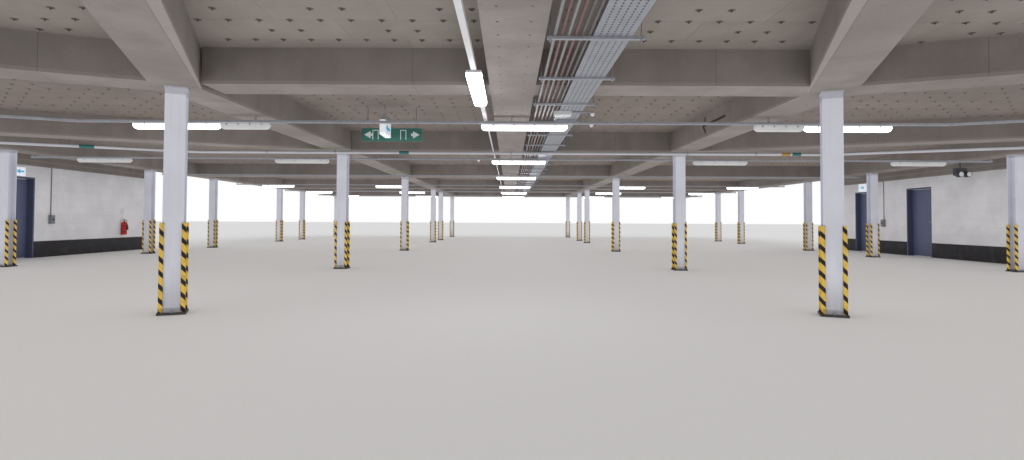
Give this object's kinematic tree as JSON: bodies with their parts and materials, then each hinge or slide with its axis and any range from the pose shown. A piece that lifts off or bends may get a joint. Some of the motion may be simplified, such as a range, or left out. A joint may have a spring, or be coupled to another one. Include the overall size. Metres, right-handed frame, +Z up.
{
  "type": "covered car park deck",
  "caption": "Open car park deck: H-section columns with foam guards, cased beams, slab, two side walls with doors, lamps, tray and pipes.",
  "frame": {"origin": "ground level at the middle of the footprint", "axes": "+X across the hall to the right, +Y along the hall away from the front row, +Z up"},
  "size_m": [25.43, 38, 3.15],
  "materials": {
    "beam_concrete": "matt, board marked",
    "slab_concrete": "matt, panel joints",
    "column_paint": "satin",
    "plate_paint": "matt",
    "guard_foam": "matt, striped",
    "wall_paint": "matt, dark skirting band",
    "door_paint": "satin",
    "frame_paint": "satin",
    "lever_steel": "brushed",
    "galvanised": "spangled",
    "pipe_paint": "satin",
    "trunking_white": "satin",
    "lamp_body": "satin",
    "diffuser_lit": "emissive",
    "diffuser_off": "satin",
    "sign_green": "satin",
    "sign_white": "emissive",
    "extinguisher_red": "gloss",
    "box_grey": "satin"
  },
  "bodies": {
    "structure": {"inner_columns": "column_paint", "outer_columns": "column_paint", "column_plates": "plate_paint", "corner_guards": "guard_foam", "end_beams": "beam_concrete", "edge_beams": "beam_concrete", "spine_beam": "beam_concrete", "left_line_beam": "beam_concrete", "right_line_beam": "beam_concrete", "cross_beams": "beam_concrete", "raked_beams": "beam_concrete", "left_wall": "wall_paint", "right_wall": "wall_paint", "left_lintel": "wall_paint", "right_lintels": "wall_paint", "door_jambs": "frame_paint", "door_heads": "frame_paint", "cable_tray": "galvanised", "service_pipes": "pipe_paint", "trapeze_channels": "galvanised", "trapeze_rods": "galvanised", "lamp_trunking": "galvanised", "trunking_hangers": "galvanised", "lamp_bodies": "lamp_body", "lit_diffusers": "diffuser_lit", "unlit_diffusers": "diffuser_off", "aisle_trunking": "trunking_white", "cross_pipe": "pipe_paint", "sign_box": "sign_white", "sign_board": "sign_green", "wall_sign": "sign_white", "extinguisher": "extinguisher_red", "wall_boxes": "box_grey", "twin_spot": "box_grey", "door_hinges": "lever_steel", "pipe_clips": "galvanised", "deck_slab_1": "slab_concrete", "deck_slab_2": "slab_concrete", "deck_slab_3": "slab_concrete", "deck_slab_4": "slab_concrete", "deck_slab_5": "slab_concrete", "deck_slab_6": "slab_concrete"},
    "left_door": {"left_door": "door_paint", "left_door_lever": "lever_steel"},
    "right_door_near": {"right_door_near": "door_paint", "right_door_near_lever": "lever_steel"},
    "right_door_far": {"right_door_far": "door_paint", "right_door_far_lever": "lever_steel"}
  },
  "joints": [
    {"name": "left_door_swing", "type": "hinge", "parent": "structure", "child": "left_door", "pos_m": [-12.708, -1.6715, 1.03], "axis": [0, 0, -1], "range_deg": [0, 90]},
    {"name": "right_door_near_swing", "type": "hinge", "parent": "structure", "child": "right_door_near", "pos_m": [12.708, 1.3785, 1.03], "axis": [0, 0, 1], "range_deg": [0, 90]},
    {"name": "right_door_far_swing", "type": "hinge", "parent": "structure", "child": "right_door_far", "pos_m": [12.708, 4.0285, 1.03], "axis": [0, 0, 1], "range_deg": [0, 90]}
  ]
}
